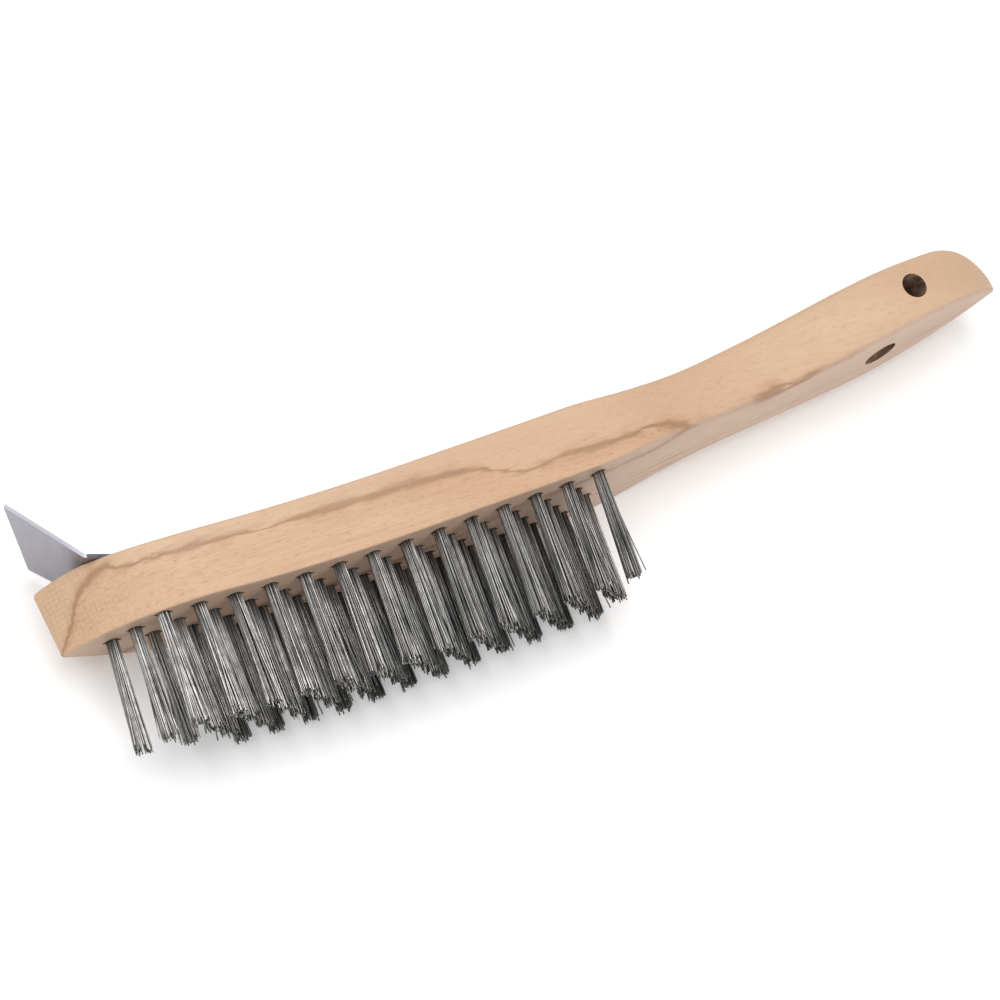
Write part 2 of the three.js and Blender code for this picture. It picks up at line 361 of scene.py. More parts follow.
# ---------------------------------------------------------------- material nodes
def node(tree, kind, inputs=None, **settings):
    """A shader node with its settings, its plain inputs set and its sockets linked."""
    made = tree.nodes.new("ShaderNode" + kind)
    for name, value in settings.items():
        setattr(made, name, value)
    for name, value in (inputs or {}).items():
        if isinstance(value, bpy.types.NodeSocket):
            tree.links.new(value, made.inputs[name])
        else:
            made.inputs[name].default_value = value
    return made


def maths(tree, operation, first, second=0.0, third=0.0):
    made = node(tree, "Math", {0: first, 1: second, 2: third}, operation=operation)
    return made.outputs[0]


def ramp(tree, value, low, high, to_low=0.0, to_high=1.0):
    """value from low..high to to_low..to_high, smoothly and held at both ends."""
    made = node(
        tree, "MapRange",
        {"Value": value, "From Min": low, "From Max": high, "To Min": to_low, "To Max": to_high},
        interpolation_type="SMOOTHSTEP",
    )
    return made.outputs["Result"]


def mixed(tree, share, first, second):
    """A colour between two colours."""
    made = node(tree, "Mix", data_type="RGBA")
    for name, value in (("Factor_Float", share), ("A_Color", first), ("B_Color", second)):
        socket = next(s for s in made.inputs if s.identifier == name)
        if isinstance(value, bpy.types.NodeSocket):
            tree.links.new(value, socket)
        elif name == "Factor_Float":
            socket.default_value = value
        else:
            socket.default_value = (*value[:3], 1)
    return next(s for s in made.outputs if s.identifier == "Result_Color")


def noise(tree, place, scale, stretch=(1, 1, 1), turn=(0, 0, 0), detail=3.0, rough=0.5):
    """Noise on object coordinates, stretched along the axes."""
    mapping = node(tree, "Mapping", {"Vector": place, "Scale": stretch, "Rotation": turn})
    made = node(
        tree, "TexNoise",
        {"Vector": mapping.outputs[0], "Scale": scale, "Detail": detail, "Roughness": rough},
    )
    return made.outputs["Fac"]


def new_material(name):
    """A material with its node tree, its shader and its object coordinates."""
    material = bpy.data.materials.new(name)
    material.use_nodes = True
    tree = material.node_tree
    shader = tree.nodes["Principled BSDF"]
    place = node(tree, "TexCoord").outputs["Object"]
    return material, tree, shader, place


def bump(tree, shader, height, strength, distance):
    made = node(tree, "Bump", {"Height": height, "Strength": strength, "Distance": distance})
    tree.links.new(made.outputs[0], shader.inputs["Normal"])


GRAIN_TURN = (0, 0, math.radians(4.5))


def sheet_level(tree, place, normal, through):
    """Distance in mm from a plane through a point of the brush's frame."""
    off = node(tree, "VectorMath", {0: place, 1: to_row(through)}, operation="SUBTRACT")
    dot = node(
        tree, "VectorMath", {0: off.outputs[0], 1: Vector(normal) / MM},
        operation="DOT_PRODUCT",
    )
    return dot.outputs["Value"]


def course(tree, place, points):
    """A height in mm that follows chosen (x, height) points along the brush."""
    x = node(tree, "SeparateXYZ", {"Vector": place}).outputs["X"]
    start, end = points[0][0], points[-1][0]
    low, high = to_row((start, 0, 0)).x, to_row((end, 0, 0)).x
    share = node(tree, "MapRange", {"Value": x, "From Min": low, "From Max": high})
    line = node(tree, "FloatCurve", {"Value": share.outputs["Result"]})
    curve = line.mapping.curves[0]
    spots = [((x - start) / (end - start), y / COURSE_SCALE) for x, y in points]
    curve.points[0].location, curve.points[1].location = spots[0], spots[-1]
    for spot in spots[1:-1]:
        curve.points.new(*spot)
    line.mapping.update()
    return maths(tree, "MULTIPLY", line.outputs["Value"], COURSE_SCALE)


def streak(tree, place, level, width, wave, seed):
    """A share from 0 to 1 of a dark vein that wanders about its level along the grain."""
    shifted = node(tree, "Mapping", {"Vector": place, "Location": (seed, 0, 0)}).outputs[0]
    wander = noise(tree, shifted, 28, (1, 0.6, 0.6), detail=2)
    fine = noise(tree, shifted, 700, (0.22, 1, 1), GRAIN_TURN, detail=4)
    thick = noise(tree, shifted, 55, (1, 0.3, 0.3), detail=2)
    off = maths(tree, "MULTIPLY_ADD", maths(tree, "SUBTRACT", wander, 0.5), wave, level)
    off = maths(tree, "MULTIPLY_ADD", maths(tree, "SUBTRACT", fine, 0.5), width * 2.4, off)
    half = ramp(tree, thick, 0.35, 0.65, width * 0.4, width * 1.5)
    share = maths(tree, "DIVIDE", maths(tree, "ABSOLUTE", off), half)
    return ramp(tree, share, 0.0, 1.15, 1.0, 0.0)


# Near-upright sheets of grain that show as lines along the underside and the back: slope
# along x, z in mm, width, wave, seed and strength.
UNDERSIDE_LINES = (
    (-0.03, -4.5, 0.55, 1.2, 0.7, 0.75),
    (0.01, -10.5, 0.45, 1.6, 1.5, 0.40),
    (-0.02, -1.0, 0.30, 1.0, 2.3, 0.45),
    (0.02, 4.0, 0.30, 1.3, 3.1, 0.20),
)
MAIN_VEIN = (
    (-27, 15.0), (-21, 19.5), (-19, 22.1), (-16, 24.1), (-11, 24.6), (-8, 22.8), (-5, 20.4),
    (0, 18.6), (10, 15.8), (29, 14.0), (55, 13.2), (75, 12.5), (89, 11.2), (97, 8.5),
    (106, 6.7), (114, 7.4), (125, 7.0), (135, 7.7), (144, 8.9), (151, 7.9), (158, 7.6),
    (170, 10.3), (183, 13.8), (200, 14.0),
)
COURSE_SCALE = 30
# The sheet that the main vein's heights are measured from: its normal and a point on it.
MAIN_SHEET = ((0, 1, -0.65), (0, 0, HALF_WIDTH))
# The main vein's wide faint stain and its dark core: width, wave, seed and strength.
MAIN_STREAKS = ((2.9, 1.4, 0.0, 0.25), (1.05, 1.4, 0.0, 0.70))
LINE_SHEET_TILT = 0.05
LINE_SHEET_X = 186
END_GRAIN_REACH = (4, 26)
END_GRAIN_BANDS = (("X", 270), ("Y", 230))
END_GRAIN_STRENGTH = 0.22


def beech(settings):
    """Pale steamed beech: fine lengthwise grain, short ray flecks and a few brown veins."""
    material, tree, shader, place = new_material("beech")
    bend = noise(tree, place, 14, detail=1)
    swing = node(tree, "CombineXYZ", {"Y": maths(tree, "MULTIPLY", bend, 0.006)}).outputs[0]
    wavy = node(tree, "VectorMath", {0: place, 1: swing}, operation="ADD").outputs[0]
    broad = noise(tree, wavy, 90, (0.10, 1, 1), GRAIN_TURN, detail=3)
    fine = noise(tree, wavy, 900, (0.05, 1, 1), GRAIN_TURN, detail=4, rough=0.6)
    lines = noise(tree, wavy, 2100, (0.035, 1, 1), GRAIN_TURN, detail=2)
    flecks = noise(tree, wavy, 2500, (0.16, 1, 1), GRAIN_TURN, detail=1.5)
    cloud = noise(tree, place, 22, (0.5, 1, 1), detail=2)
    colour = mixed(tree, ramp(tree, broad, 0.3, 0.72), settings.pale_wood, settings.warm_wood)
    colour = mixed(tree, ramp(tree, cloud, 0.35, 0.7, 0, 0.45), colour, settings.deep_wood)
    colour = mixed(tree, ramp(tree, fine, 0.5, 0.72, 0, 0.5), colour, settings.deep_wood)
    colour = mixed(tree, ramp(tree, lines, 0.45, 0.72, 0, 0.5), colour, settings.deep_wood)
    dash = ramp(tree, flecks, 0.57, 0.69)
    colour = mixed(tree, maths(tree, "MULTIPLY", dash, 0.32), colour, settings.vein_wood)
    main = sheet_level(tree, place, *MAIN_SHEET)
    main = maths(tree, "SUBTRACT", main, course(tree, place, MAIN_VEIN))
    colour = mixed(tree, ramp(tree, main, -0.4, 0.9, 0, 0.4), colour, settings.rosy_wood)
    # Painted light: faces that look towards -y take a cooler, dimmer tint, the bounce light and shade of
    # the underside.
    facing = node(tree, "TexCoord").outputs["Normal"]
    down = node(tree, "SeparateXYZ", {"Vector": facing}).outputs["Y"]
    down = ramp(tree, maths(tree, "MULTIPLY", down, -1.0), 0.25, 0.9, 0.0, 0.5)
    colour = mixed(tree, down, colour, settings.painted_underlight_wood)
    veins = [(main, *streak_values) for streak_values in MAIN_STREAKS]
    for slope, z, width, wave, seed, strength in UNDERSIDE_LINES:
        level = sheet_level(tree, place, (slope, LINE_SHEET_TILT, 1), (LINE_SHEET_X, 0, z))
        veins.append((level, width, wave, seed, strength))
    for level, width, wave, seed, strength in veins:
        share = maths(tree, "MULTIPLY", streak(tree, place, level, width, wave, seed), strength)
        colour = mixed(tree, share, colour, settings.vein_wood)
    colour = mixed(tree, end_grain(tree, place), colour, settings.vein_wood)
    tree.links.new(colour, shader.inputs["Base Color"])
    tree.links.new(ramp(tree, fine, 0.3, 0.7, 0.42, 0.58), shader.inputs["Roughness"])
    shader.inputs["Specular IOR Level"].default_value = 0.5
    height = maths(tree, "MULTIPLY_ADD", dash, -0.7, fine)
    bump(tree, shader, height, 0.25, 0.00012)
    return material


def end_grain(tree, place):
    """The share of the fine crossed lines where the nose curves across the grain."""
    x = node(tree, "SeparateXYZ", {"Vector": place}).outputs["X"]
    start = to_row((NOSE_X, 0, 0)).x
    full, gone = END_GRAIN_REACH
    near = ramp(tree, x, start + full * MM, start + gone * MM, 1.0, 0.0)
    lines = []
    for direction, scale in END_GRAIN_BANDS:
        wave = node(
            tree, "TexWave",
            {"Vector": place, "Scale": scale, "Distortion": 2.2, "Detail": 2.0, "Detail Scale": 0.6},
            bands_direction=direction,
        )
        lines.append(ramp(tree, wave.outputs["Fac"], 0.72, 1.0))
    patch = ramp(tree, noise(tree, place, 120, detail=2), 0.35, 0.6, 0.2, 1.0)
    both = maths(tree, "MULTIPLY", maths(tree, "MAXIMUM", *lines), near)
    return maths(tree, "MULTIPLY", maths(tree, "MULTIPLY", both, patch), END_GRAIN_STRENGTH)


def bored_beech(settings):
    """The darker brown walls of the bored holes: painted shade in the holes."""
    material, tree, shader, place = new_material("bored_beech")
    rings = noise(tree, place, 700, (0.4, 1, 0.4), detail=3)
    colour = mixed(tree, ramp(tree, rings, 0.3, 0.7), settings.bore_dark, settings.bore_light)
    tree.links.new(colour, shader.inputs["Base Color"])
    tree.links.new(ramp(tree, rings, 0.3, 0.7, 0.7, 0.9), shader.inputs["Roughness"])
    bump(tree, shader, rings, 0.4, 0.0002)
    return material


def brush_wire(settings):
    """Drawn steel wire in mixed tones, with dark rough spots here and there along it."""
    material, tree, shader, place = new_material("brush_wire")
    tone = node(tree, "Attribute", attribute_name="tone").outputs["Fac"]
    spot = node(tree, "Attribute", attribute_name="spot").outputs["Fac"]
    colour = mixed(tree, tone, settings.dark_wire, settings.bright_wire)
    grime = noise(tree, place, 400, detail=3)
    colour = mixed(tree, ramp(tree, grime, 0.45, 0.75, 0, 0.35), colour, settings.grimy_wire)
    colour = mixed(tree, maths(tree, "MULTIPLY", spot, 0.8), colour, settings.spot_wire)
    tree.links.new(colour, shader.inputs["Base Color"])
    shader.inputs["Metallic"].default_value = 1.0
    rough = ramp(tree, grime, 0.3, 0.7, 0.30, 0.46)
    rough = maths(tree, "MULTIPLY_ADD", spot, 0.3, rough)
    tree.links.new(rough, shader.inputs["Roughness"])
    return material


def satin_steel(name, base, rough, streaks):
    """Sheet or nail steel with a rolled or drawn satin grain."""
    material, tree, shader, place = new_material(name)
    grain = noise(tree, place, 900, streaks, detail=4, rough=0.6)
    cloud = noise(tree, place, 60, detail=3)
    dark = tuple(c * 0.90 for c in base[:3])
    light = tuple(min(1, c * 1.04) for c in base[:3])
    colour = mixed(tree, ramp(tree, grain, 0.3, 0.7), dark, light)
    colour = mixed(tree, ramp(tree, cloud, 0.4, 0.75, 0, 0.3), colour, dark)
    tree.links.new(colour, shader.inputs["Base Color"])
    shader.inputs["Metallic"].default_value = 1.0
    roughness = ramp(tree, grain, 0.3, 0.7, rough - 0.03, rough + 0.04)
    tree.links.new(roughness, shader.inputs["Roughness"])
    bump(tree, shader, grain, 0.06, 0.00003)
    return material


# ---------------------------------------------------------------- the wood
def block_cage(settings):
    """Rounded sections from the nose to the handle's end, closer together at both ends."""
    def build(bm):
        rings = []
        for i in range(STATIONS + 1):
            v = i / STATIONS
            share = v - END_CROWDING * math.sin(2 * math.pi * v) / (2 * math.pi)
            x = NOSE_X + (END_X - NOSE_X) * share
            low, high = underside(x), topside(x)
            spots = []
            for y, z in section(x, settings):
                height = (y - low) / max(high - low, LEAST_SECTION_HEIGHT)
                spots.append(to_row((x + nose_set_back(x, height), y, z)))
            rings.append(add_ring(bm, spots))
        for ring, next_ring in zip(rings, rings[1:]):
            bridge(bm, ring, next_ring)

    return mesh_from("block_cage", build)


def section(x, settings):
    """One section of the wood as (y, z) points, corner by corner."""
    r = edge_round(x, settings)
    low, high, half = underside(x) + r, topside(x) - r, half_width(x) - r
    corners = ((high, half, 0), (high, -half, 90), (low, -half, 180), (low, half, 270))
    points = []
    for number, (y, z, turn) in enumerate(corners):
        for step in range(ARC_STEPS + 1):
            angle = math.radians(turn + 90 * step / ARC_STEPS)
            points.append((y + r * math.sin(angle), z + r * math.cos(angle)))
        next_y, next_z, next_turn = corners[(number + 1) % 4]
        last = points[-1]
        angle = math.radians(next_turn)
        first = (next_y + r * math.sin(angle), next_z + r * math.cos(angle))
        steps = FACE_STEPS if number % 2 == 0 else SIDE_STEPS
        for step in range(1, steps):
            t = step / steps
            points.append(tuple(a + (b - a) * t for a, b in zip(last, first)))
    return points


def keyhole(settings):
    """A drilled hole with the slit that the anchor's ends cut on both sides."""
    radius = settings.hole_diameter / 2 / MM
    reach = settings.slit_length / 2 / MM
    half = settings.slit_width / 2 / MM
    corner = math.asin(half / radius)
    outline = [(reach, -half), (reach, half)]
    outline += circle(radius, HALF_HOLE_FLATS, corner, math.pi - corner)
    outline += [(-reach, half), (-reach, -half)]
    outline += circle(radius, HALF_HOLE_FLATS, math.pi + corner, 2 * math.pi - corner)
    return outline


def hole_cutters(settings):
    """Every hole in the wood as one set of separate bars."""
    outline = keyhole(settings)
    across = Matrix.Rotation(math.radians(90), 4, "X")
    side_place = Matrix.Translation(Vector((*SIDE_HOLE, 0))) @ across
    top_place = Matrix.Translation(Vector((TOP_HOLE_X, topside(TOP_HOLE_X), 0)))

    def build(bm):
        for place in tuft_places().values():
            prism(bm, outline, place, -DRILL_MOUTH, settings.hole_depth / MM)
        prism(bm, circle(settings.side_hole / 2 / MM, SIDE_HOLE_FLATS), side_place, -SIDE_DRILL, SIDE_DRILL)
        prism(bm, circle(settings.top_hole / 2 / MM, TOP_HOLE_FLATS), top_place, -TOP_DRILL, TOP_DRILL)
        for offset in NAIL_OFFSETS.values():
            place = seat_matrix() @ Matrix.Translation(Vector((offset, 0, 0)))
            bore = circle(NAIL_BORE / 2, NAIL_HOLE_FLATS)
            prism(bm, bore, place, -NAIL_DEPTH, NAIL_DRILL_MOUTH)

    return mesh_from("hole_cutters", build)


class BlockSettings(bpy.types.PropertyGroup):
    block_edge: bpy.props.FloatProperty(
        name="Block edge", description="Radius of the block's long edges",
        default=0.0006, min=0.0002, unit="LENGTH", precision=4)
    grip_edge: bpy.props.FloatProperty(
        name="Grip edge", description="Radius of the handle's edges",
        default=0.0019, min=0.0002, unit="LENGTH", precision=4)
    hole_diameter: bpy.props.FloatProperty(
        name="Tuft hole", description="Diameter of the hole that a tuft stands in",
        default=0.0039, min=0.001, unit="LENGTH", precision=4)
    hole_depth: bpy.props.FloatProperty(
        name="Tuft hole depth", description="Depth of the hole that a tuft stands in",
        default=0.009, min=0.001, unit="LENGTH", precision=4)
    slit_length: bpy.props.FloatProperty(
        name="Slit length", description="Length of the slit that the anchor cuts",
        default=0.0051, min=0.001, unit="LENGTH", precision=4)
    slit_width: bpy.props.FloatProperty(
        name="Slit width", description="Width of the slit that the anchor cuts",
        default=0.0007, min=0.0002, unit="LENGTH", precision=4)
    side_hole: bpy.props.FloatProperty(
        name="Side hole", description="Diameter of the hanging hole through the sides",
        default=0.0075, min=0.001, unit="LENGTH", precision=4)
    top_hole: bpy.props.FloatProperty(
        name="Top hole", description="Diameter of the hanging hole through the back",
        default=0.010, min=0.001, unit="LENGTH", precision=4)
    pale_wood: bpy.props.FloatVectorProperty(
        name="Pale wood", description="Colour of the lightest beech",
        subtype="COLOR", default=(0.62, 0.41, 0.258), min=0, max=1)
    warm_wood: bpy.props.FloatVectorProperty(
        name="Warm wood", description="Colour of the main beech tone",
        subtype="COLOR", default=(0.56, 0.355, 0.215), min=0, max=1)
    deep_wood: bpy.props.FloatVectorProperty(
        name="Deep wood", description="Colour of the deeper grain",
        subtype="COLOR", default=(0.50, 0.30, 0.17), min=0, max=1)
    vein_wood: bpy.props.FloatVectorProperty(
        name="Vein", description="Colour of the brown veins and flecks",
        subtype="COLOR", default=(0.30, 0.16, 0.085), min=0, max=1)
    rosy_wood: bpy.props.FloatVectorProperty(
        name="Rosy wood", description="Colour of the wood above the main vein",
        subtype="COLOR", default=(0.60, 0.42, 0.30), min=0, max=1)
    # Painted light: the cooler, dimmer tint of the underside's bounce light and shade.
    painted_underlight_wood: bpy.props.FloatVectorProperty(
        name="Pink wood", description="Tint of the wood's shaded underside",
        subtype="COLOR", default=(0.44, 0.32, 0.265), min=0, max=1)
    # The bored holes' darker colours are painted shade in the holes.
    bore_dark: bpy.props.FloatVectorProperty(
        name="Bore dark", description="Darkest colour in the bored holes",
        subtype="COLOR", default=(0.12, 0.07, 0.045), min=0, max=1)
    bore_light: bpy.props.FloatVectorProperty(
        name="Bore light", description="Lightest colour in the bored holes",
        subtype="COLOR", default=(0.38, 0.24, 0.155), min=0, max=1)


class WIREBRUSH_OT_block(bpy.types.Operator):
    """Make the block and handle with their bored holes"""
    bl_idname = "wire_brush.block"
    bl_label = "Block and Handle"

    def execute(self, context):
        settings = context.scene.wire_brush_block
        wood = linked("beech_body", block_cage(settings))
        wood.data.materials.append(beech(settings))
        smooth = wood.modifiers.new("smooth", "SUBSURF")
        smooth.levels = smooth.render_levels = 1
        cutters = linked("cutters", hole_cutters(settings))
        cutters.data.materials.append(bored_beech(settings))
        bore = wood.modifiers.new("bore", "BOOLEAN")
        bore.operation = "DIFFERENCE"
        bore.solver = "EXACT"
        bore.material_mode = "TRANSFER"
        bore.object = cutters
        applied(wood)
        dropped(cutters)
        shaded(wood.data, SHARP_WOOD)
        if len(wood.data.materials) != 2:
            raise RuntimeError("the bored holes have lost their own finish")
        finished(wood, "block_and_handle")
        return {"FINISHED"}


# ---------------------------------------------------------------- the tufts
class TuftSettings(bpy.types.PropertyGroup):
    wire_diameter: bpy.props.FloatProperty(
        name="Wire", description="Diameter of one wire",
        default=0.00036, min=0.0001, unit="LENGTH", precision=5)
    wire_pitch: bpy.props.FloatProperty(
        name="Wire pitch", description="Distance between neighbouring wires in the hole",
        default=0.00038, min=0.0001, unit="LENGTH", precision=5)
    root_diameter: bpy.props.FloatProperty(
        name="Root", description="Diameter of a tuft in its hole",
        default=0.0034, min=0.001, unit="LENGTH", precision=4)
    tip_diameter: bpy.props.FloatProperty(
        name="Tip", description="Diameter of a tuft at its tips",
        default=0.0052, min=0.001, unit="LENGTH", precision=4)
    ragged: bpy.props.FloatProperty(
        name="Raggedness", description="How far the wires' lengths differ",
        default=0.0011, min=0.0, unit="LENGTH", precision=4)
    stray_share: bpy.props.FloatProperty(
        name="Strays", description="Share of the wires that stand off their tuft",
        default=0.05, min=0.0, max=1.0)
    bright_wire: bpy.props.FloatVectorProperty(
        name="Bright wire", description="Colour of the brightest wires",
        subtype="COLOR", default=(0.50, 0.49, 0.475), min=0, max=1)
    dark_wire: bpy.props.FloatVectorProperty(
        name="Dark wire", description="Colour of the darkest wires",
        subtype="COLOR", default=(0.15, 0.145, 0.138), min=0, max=1)
    grimy_wire: bpy.props.FloatVectorProperty(
        name="Grime", description="Colour of the grimy stretches of wire",
        subtype="COLOR", default=(0.14, 0.12, 0.105), min=0, max=1)
    spot_wire: bpy.props.FloatVectorProperty(
        name="Dark spots", description="Colour of the dark spots on the wires",
        subtype="COLOR", default=(0.04, 0.04, 0.039), min=0, max=1)


WIRE_SIDES = 6
WIRE_CAPS = 2
WIRE_STOPS = (0.0, 0.36, 0.7, 0.93, 1.0)
FLARE_POWER = 1.4
ROOT_DEPTH = 6.5
FLOOR_CLEARANCE = 0.6
# In mm: the gap between a tuft's two halves, and how far the wires stray from a straight run.
HALVES_GAP = 0.24
WIRE_WANDER = 0.07
WIRE_BOW = 0.05
STRAY_REACH = (0.5, 2.4)
# Shares of the spread: along the brush at the tips, and down in the hole.
SPREAD_ALONG = 0.97
SPREAD_IN_HOLE = 0.95
# Which way strays head, in radians from the handle's side, and how far either way.
STRAY_HEADING = 1e-3
NOSE_STRAY_HEADING = math.pi
STRAY_TURN = 0.7
NOSE_STRAY_FACTOR = 2.5
NOSE_STRAY_END_X = 12
# Dark spots: how dark, from faint to full, and how many points of the mesh each one takes.
SPOT_SHARES = (0.12, 1.0)
SPOT_POINTS = 8
FIRST_SEED = 1000


def bundle_spots(settings, rng):
    """Where the wires stand in the hole: two half rounds of a close-packed pattern, as
    (x, z) offsets in mm, with a thin gap between the halves."""
    pitch = settings.wire_pitch / MM
    radius = (settings.root_diameter - settings.wire_diameter) / 2 / MM
    spots = []
    rows = int(radius / pitch) + 2
    for row in range(-rows, rows + 1):
        for column in range(-rows - 1, rows + 2):
            x = (column + 0.5 * (row % 2)) * pitch
            z = row * pitch * math.sqrt(3) / 2
            if math.hypot(x, z) > radius - HALVES_GAP / 2:
                continue
            side = 1 if x > 1e-6 or (abs(x) <= 1e-6 and row % 4 < 2) else -1
            spots.append((x + side * HALVES_GAP / 2, z))
    rng.shuffle(spots)
    return spots


def wire_path(spot, settings, rng, heading):
    """One wire from its anchor in the hole to its cut end, in the tuft's own frame.
    A heading makes it a stray that stands off that way."""
    spread = settings.tip_diameter / settings.root_diameter
    x, z = spot
    tip_x = x * spread * SPREAD_ALONG + rng.gauss(0, WIRE_WANDER)
    tip_z = z * spread + rng.gauss(0, WIRE_WANDER)
    if heading is not None:
        reach = rng.uniform(*STRAY_REACH)
        away = heading + rng.uniform(-STRAY_TURN, STRAY_TURN)
        tip_x += reach * math.cos(away)
        tip_z += reach * math.sin(away)
    length = TUFT_TRIM + rng.gauss(0, settings.ragged / MM / 2)
    bow = Vector((rng.gauss(0, WIRE_BOW), 0, rng.gauss(0, WIRE_BOW)))
    points = [Vector((x * SPREAD_IN_HOLE, ROOT_DEPTH, z * SPREAD_IN_HOLE))]
    for stop in WIRE_STOPS:
        middle = 4 * stop * (1 - stop)
        flare = stop ** FLARE_POWER
        at = Vector((x + (tip_x - x) * flare, -length * stop, z + (tip_z - z) * flare))
        points.append(at + bow * middle)
    return points


def points_in_wire(path):
    """Points of the mesh in one wire: its tube's rings and its two loose caps."""
    return (len(path) + WIRE_CAPS) * WIRE_SIDES


def wires_mesh(name, paths, radius):
    """All of a tuft's wires as one curve's own bevel, taken to a mesh with closed ends."""
    curve = bpy.data.curves.new(name, "CURVE")
    curve.dimensions = "3D"
    curve.bevel_depth = radius
    curve.bevel_resolution = (WIRE_SIDES - 4) // 2
    curve.use_fill_caps = True
    for path in paths:
        spline = curve.splines.new("POLY")
        spline.points.add(len(path) - 1)
        spline.points.foreach_set("co", [v for p in path for v in (*p, 1.0)])
    holder = linked(name + "_line", curve)
    graph = bpy.context.evaluated_depsgraph_get()
    mesh = bpy.data.meshes.new_from_object(holder.evaluated_get(graph), depsgraph=graph)
    mesh.name = name
    bpy.data.objects.remove(holder)
    bpy.data.curves.remove(curve)
    if len(mesh.vertices) != len(paths) * points_in_wire(paths[0]):
        raise RuntimeError(f"{name}: {len(mesh.vertices)} points for {len(paths)} wires")
    return mesh


def set_wire_tones(mesh, tones, count):
    """A tone and a dark spot for each run of count points, as many as one wire has.
    The mesh lists every wire's caps before the tubes, so the runs don't start where the
    wires do: tones and spots change part-way along a wire, and cut ends aren't picked out."""
    tone = mesh.attributes.new("tone", "FLOAT", "POINT")
    tone.data.foreach_set("value", [t for t in tones for _ in range(count)])
    spot = mesh.attributes.new("spot", "FLOAT", "POINT")
    plain = count - SPOT_POINTS * len(SPOT_SHARES)
    run = [0.0] * plain + [s for s in SPOT_SHARES for _ in range(SPOT_POINTS)]
    spot.data.foreach_set("value", run * len(tones))


def make_tuft(name, place, settings, material, number):
    """One tuft's wires as one piece. No wire sinks into the floor that the brush lies on."""
    rng = random.Random(FIRST_SEED + number)
    at_nose = place.translation.x < NOSE_STRAY_END_X
    stray_heading = NOSE_STRAY_HEADING if at_nose else STRAY_HEADING
    share = settings.stray_share * (NOSE_STRAY_FACTOR if at_nose else 1.0)
    paths = []
    for spot in bundle_spots(settings, rng):
        heading = stray_heading if rng.random() < share else None
        path = wire_path(spot, settings, rng, heading)
        paths.append([to_row(place @ p) for p in path])
    floor = FLOOR_CLEARANCE * MM
    for path in paths:
        for point in path:
            point.z = max(point.z, floor)
    mesh = wires_mesh(name + "_wires", paths, settings.wire_diameter / 2)
    tones = [rng.random() for _ in paths]
    set_wire_tones(mesh, tones, points_in_wire(paths[0]))
    mesh.materials.append(material)
    shaded(mesh, SHARP_WIRE)
    return finished(linked(name + "_wires", mesh), name)


class WIREBRUSH_OT_tufts(bpy.types.Operator):
    """Make every tuft of wire"""
    bl_idname = "wire_brush.tufts"
    bl_label = "Wire Tufts"

    def execute(self, context):
        settings = context.scene.wire_brush_tufts
        material = brush_wire(settings)
        for number, (name, place) in enumerate(tuft_places().items()):
            make_tuft(name, place, settings, material, number)
        return {"FINISHED"}


# ---------------------------------------------------------------- the scraper and its nails
class ScraperSettings(bpy.types.PropertyGroup):
    thickness: bpy.props.FloatProperty(
        name="Sheet", description="Thickness of the scraper's sheet",
        default=0.001, min=0.0002, unit="LENGTH", precision=4)
    rise: bpy.props.FloatProperty(
        name="Blade rise", description="Angle of the blade above the brush's back",
        default=math.radians(50.5), subtype="ANGLE")
    bend_radius: bpy.props.FloatProperty(
        name="Bend", description="Radius of the bend at the middle of the sheet",
        default=0.0012, min=0.0005, unit="LENGTH", precision=4)
    head_diameter: bpy.props.FloatProperty(
        name="Nail head", description="Diameter of the nails' heads",
        default=0.0046, min=0.001, unit="LENGTH", precision=4)
    sheet_colour: bpy.props.FloatVectorProperty(
        name="Sheet steel", description="Colour of the scraper's steel",
        subtype="COLOR", default=(0.32, 0.31, 0.35), min=0, max=1)
    nail_colour: bpy.props.FloatVectorProperty(
        name="Nail steel", description="Colour of the nails' steel",
        subtype="COLOR", default=(0.46, 0.46, 0.48), min=0, max=1)


BLADE_NEAR = 23.7
BLADE_FAR = 14.2
BLADE_FLARE = 0.13
BEND_HALF = 13.3
TAIL_LENGTH = 20
TAIL_HALF = 6.5
SHEET_LIFT = 0.02
SHEET_EDGE = 0.14
TAIL_END_STEPS = 12
TAIL_STEPS = 5
BEND_STEPS = 6
ACROSS_STEPS = 8
BLADE_SHARES = (0.25, 0.5, 0.75, 1.0)
PUNCH_RADIUS = 1.0
PUNCH_REACH = 2

NAIL_HEAD_HEIGHT = 1.0
NAIL_HEAD_GAP = 0.03
NAIL_SHANK = 0.9
NAIL_TAPER = -9.0
NAIL_POINT_CLEARANCE = 0.4


def scraper_cage(settings):
    """Rows of the sheet's middle surface as (along, up, half width): a tail with a round end
    and a bent arc. Also where the bend starts and how far it turns."""
    lift = settings.thickness / 2 / MM + SHEET_LIFT
    radius = settings.bend_radius / MM
    turn = settings.rise + SEAT_ANGLE
    start = radius * math.tan(turn / 2)
    shoulder = TAIL_LENGTH - TAIL_HALF
    rows = []
    for step in range(TAIL_END_STEPS + 1):
        angle = math.pi / 2 * (1 - step / TAIL_END_STEPS)
        rows.append((shoulder + TAIL_HALF * math.sin(angle), lift, TAIL_HALF * math.cos(angle)))
    for step in range(1, TAIL_STEPS + 1):
        along = shoulder + (start - shoulder) * step / TAIL_STEPS
        half = TAIL_HALF + (BEND_HALF - TAIL_HALF) * step / TAIL_STEPS
        rows.append((along, lift, half))
    for step in range(1, BEND_STEPS + 1):
        angle = turn * step / BEND_STEPS
        along = start - radius * math.sin(angle)
        rows.append((along, lift + radius * (1 - math.cos(angle)), BEND_HALF))
    return rows, start, turn


